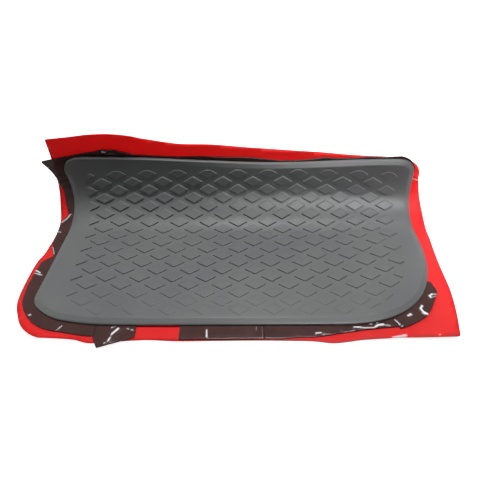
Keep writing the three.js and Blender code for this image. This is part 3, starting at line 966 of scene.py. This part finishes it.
red_plastic, film_shader = finish(
    "red_plastic", (0.84, 0.016, 0.018), (0.90, 0.026, 0.025), 30.0, (0.55, 0.65),
    {"Grain Scale": 900.0, "Ripple Scale": 55.0, "Ripple Share": 0.85}, (0.12, 0.3),
)
film_shader.inputs["Specular IOR Level"].default_value = 0.12
film_shader.inputs["Subsurface Weight"].default_value = 0.4
film_shader.inputs["Subsurface Radius"].default_value = (1.0, 0.12, 0.08)
film_shader.inputs["Subsurface Scale"].default_value = 2.5 * millimetre

glossy_adhesive, adhesive_shader = finish(
    "glossy_adhesive", (0.050, 0.021, 0.019), (0.066, 0.027, 0.024), 60.0, (0.16, 0.26),
    {"Grain Scale": 600.0, "Ripple Scale": 240.0, "Ripple Share": 0.75}, (0.12, 0.2),
)
adhesive_shader.inputs["Specular IOR Level"].default_value = 0.16


def paint_glints_on_creases(material, shader, painted_light):
    """Paints a highlight into the colour: it turns pale wherever the piece's points carry a painted glint."""
    tree = material.node_tree
    amount = tree.nodes.new("ShaderNodeAttribute")
    amount.attribute_name = "painted_glint"
    amount.location = (-600, 450)
    mix = tree.nodes.new("ShaderNodeMix")
    mix.data_type = "RGBA"
    mix.location = (-250, 350)
    mix.inputs[7].default_value = (*painted_light, 1)
    plain = shader.inputs["Base Color"].links[0].from_socket
    tree.links.new(plain, mix.inputs[6])
    tree.links.new(amount.outputs["Fac"], mix.inputs["Factor"])
    tree.links.new(mix.outputs[2], shader.inputs["Base Color"])


# The pale tones are painted highlights: pinkish on the red film, cool white on the adhesive.
paint_glints_on_creases(red_plastic, film_shader, (0.95, 0.80, 0.80))
paint_glints_on_creases(glossy_adhesive, adhesive_shader, (0.90, 0.93, 0.95))

studded_mat.data.materials.append(satin_rubber)
red_film.data.materials.append(red_plastic)
for tape in tapes:
    tape.data.materials.append(glossy_adhesive)
print("materials:", ", ".join(material.name for material in (satin_rubber, red_plastic, glossy_adhesive)))

# %% [markdown]
# The pad lies on a plain pale floor. To the camera the floor and the world are white, as in a product
# photograph, and glossy surfaces see them so too. To all other light the floor is a mid grey and the world
# is nearly black, so they throw little light back and the wall of the mat keeps its shade.

# %% Floor and world
floor_half_size = 3.0
floor_drop = 0.2 * millimetre
floor_grey, floor_white, floor_glow = 0.35, 0.8, 0.88
world_light = 0.05


def seen_directly(tree, x, y):
    """The output that is 1 for what the camera, a reflection or a clear material sees, and otherwise 0."""
    path = add_node(tree, "ShaderNodeLightPath", x, y)
    either = path.outputs["Is Camera Ray"]
    for number, kind in enumerate(["Is Glossy Ray", "Is Transmission Ray"]):
        larger = add_node(tree, "ShaderNodeMath", x + 200 * (number + 1), y)
        larger.operation = "MAXIMUM"
        tree.links.new(either, larger.inputs[0])
        tree.links.new(path.outputs[kind], larger.inputs[1])
        either = larger.outputs[0]
    return either


floor_mesh = bpy.data.meshes.new("floor")
turns = [(-1, -1), (1, -1), (1, 1), (-1, 1)]
floor_corners = [(x * floor_half_size, y * floor_half_size, 0) for x, y in turns]
floor_mesh.from_pydata(floor_corners, [], [(0, 1, 2, 3)])
floor = bpy.data.objects.new("floor", floor_mesh)
floor.location.z = -floor_drop
bpy.context.collection.objects.link(floor)

floor_paint = bpy.data.materials.new("floor_paint")
floor_paint.use_nodes = True
floor_tree = floor_paint.node_tree
floor_tree.nodes.clear()
matt = add_node(floor_tree, "ShaderNodeBsdfDiffuse", -450, 0, Color=(*[floor_grey] * 3, 1))
bright_matt = add_node(floor_tree, "ShaderNodeBsdfDiffuse", -450, -150, Color=(*[floor_white] * 3, 1))
glow = add_node(floor_tree, "ShaderNodeEmission", -450, -300, Color=(1, 1, 1, 1), Strength=floor_glow)
shown = add_node(floor_tree, "ShaderNodeAddShader", -250, -200)
floor_mix = add_node(floor_tree, "ShaderNodeMixShader", -50, 0)
floor_end = add_node(floor_tree, "ShaderNodeOutputMaterial", 150, 0)
floor_tree.links.new(bright_matt.outputs[0], shown.inputs[0])
floor_tree.links.new(glow.outputs[0], shown.inputs[1])
floor_tree.links.new(seen_directly(floor_tree, -900, 250), floor_mix.inputs[0])
floor_tree.links.new(matt.outputs[0], floor_mix.inputs[1])
floor_tree.links.new(shown.outputs[0], floor_mix.inputs[2])
floor_tree.links.new(floor_mix.outputs[0], floor_end.inputs["Surface"])
floor_mesh.materials.append(floor_paint)

world = bpy.data.worlds.new("studio")
world.use_nodes = True
bpy.context.scene.world = world
world_tree = world.node_tree
background = world_tree.nodes["Background"]
background.inputs["Color"].default_value = (1, 1, 1, 1)
world_strength = add_node(world_tree, "ShaderNodeMapRange", -300, 0)
world_strength.inputs["To Min"].default_value = world_light
world_strength.inputs["To Max"].default_value = 1.0
world_tree.links.new(seen_directly(world_tree, -900, 0), world_strength.inputs["Value"])
world_tree.links.new(world_strength.outputs["Result"], background.inputs["Strength"])
print("floor and world:", floor.name, world.name)

# %% [markdown]
# The photograph was taken in soft light from above and behind, so the studs show by the shade on their near
# sides. One large lamp stands for it, and a low one behind the pad glows through the film and skims the back
# edge. Two faint lamps at the sides pick out the right end of the wall and the tape on the left. The one at
# the front right shows only as a gloss on the curl, because it is kept out of the diffuse light.

# %% Lights
def softbox(name, place, target, size, power, spread=180, gloss_only=False):
    """A square soft light, in metres and watts, turned towards a target. Its spread is in degrees."""
    light = bpy.data.lights.new(name, "AREA")
    light.shape = "SQUARE"
    light.size = size
    light.energy = power
    light.spread = math.radians(spread)
    lamp = bpy.data.objects.new(name, light)
    lamp.location = place
    lamp.rotation_euler = (Vector(target) - Vector(place)).to_track_quat("-Z", "Y").to_euler()
    lamp.visible_camera = False
    lamp.visible_diffuse = not gloss_only
    bpy.context.collection.objects.link(lamp)
    return lamp


softbox("key_above", (0.06, 0.20, 1.15), (0.03, 0.03, 0), 0.25, 12.6)
softbox("front_right", (0.13, -0.26, 0.25), (0.12, 0.05, 0.02), 0.20, 0.60, 70, gloss_only=True)
softbox("from_right", (0.42, -0.12, 0.19), (0.18, 0.05, 0.045), 0.12, 0.030, 26)
softbox("from_left", (-0.46, -0.16, 0.20), (-0.12, -0.035, 0), 0.14, 0.010, 34)
softbox("behind_film", (0.22, 0.6, 0.13), (0.04, 0.07, 0.06), 0.26, 7.5)
print("lamps:", len(bpy.data.lights))

# %% [markdown]
# The camera looks down at the pad from the front at 47 degrees, from about a third of a metre. Its place,
# lens and slight roll were found by matching the rows of studs and the mat's edges in the photograph. It is
# turned by a matrix of its own three directions, which takes a turn and a roll without any order of angles.

# %% Camera
camera_elevation = math.radians(47.0)
camera_turn = 0.0171
camera_roll = 0.0079
camera_distance = 0.34011
aim_x, aim_s, aim_height = 1.5007, 78, 10
sensor_width = 36
lens_in_pixels, picture_in_pixels = 404, 480
aim = Vector((aim_x + middle_column_x, aim_s + front_edge_y, aim_height)) * millimetre
level_ahead = Vector((math.sin(camera_turn), math.cos(camera_turn), 0))
right = Vector((math.cos(camera_turn), -math.sin(camera_turn), 0))
ahead = level_ahead * math.cos(camera_elevation) - Vector((0, 0, 1)) * math.sin(camera_elevation)
above = level_ahead * math.sin(camera_elevation) + Vector((0, 0, 1)) * math.cos(camera_elevation)
rolled_right = right * math.cos(camera_roll) + above * math.sin(camera_roll)
rolled_above = above * math.cos(camera_roll) - right * math.sin(camera_roll)

camera_data = bpy.data.cameras.new("camera")
camera_data.sensor_width = sensor_width
camera_data.lens = lens_in_pixels / picture_in_pixels * sensor_width
camera_data.clip_start = 0.01
camera = bpy.data.objects.new("camera", camera_data)
bpy.context.collection.objects.link(camera)
turned = Matrix((rolled_right, rolled_above, -ahead)).transposed().to_4x4()
camera.matrix_world = Matrix.Translation(aim - ahead * camera_distance) @ turned
bpy.context.scene.camera = camera
bpy.context.scene.view_settings.view_transform = "Standard"
print("lens, mm:", round(camera_data.lens, 2))
